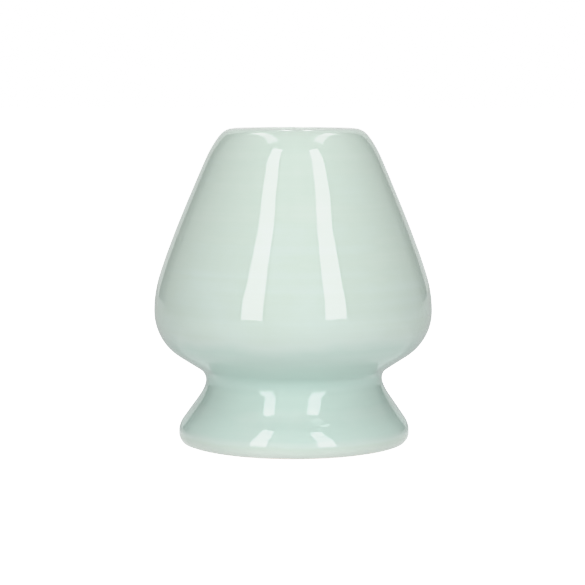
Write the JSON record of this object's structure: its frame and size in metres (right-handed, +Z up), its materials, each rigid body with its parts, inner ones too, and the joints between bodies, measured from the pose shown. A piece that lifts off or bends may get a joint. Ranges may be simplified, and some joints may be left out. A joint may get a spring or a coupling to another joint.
{
  "type": "matcha whisk holder",
  "caption": "Celadon-glazed porcelain stand for a bamboo tea whisk: a hollow bell with a round mouth on a flared foot, which keeps the whisk's tines open as it dries.",
  "frame": {"origin": "centre of the standing ring, on the surface that the holder stands on", "axes": "+Z up along the axis that every piece is turned about; X and Y are interchangeable"},
  "size_m": [0.0618, 0.0618, 0.07],
  "materials": {
    "porcelain": "bare fired porcelain, matt, wiped smooth",
    "slip": "fired slip, matt",
    "outer_celadon": "glossy pale celadon glaze, thin at the lip and pooled in the waist",
    "inner_celadon": "glossy pale celadon glaze"
  },
  "bodies": {
    "root": {"bell": "porcelain", "foot": "porcelain", "luting_slip": "slip", "outer_glaze": "outer_celadon", "inner_glaze": "inner_celadon"}
  },
  "joints": []
}
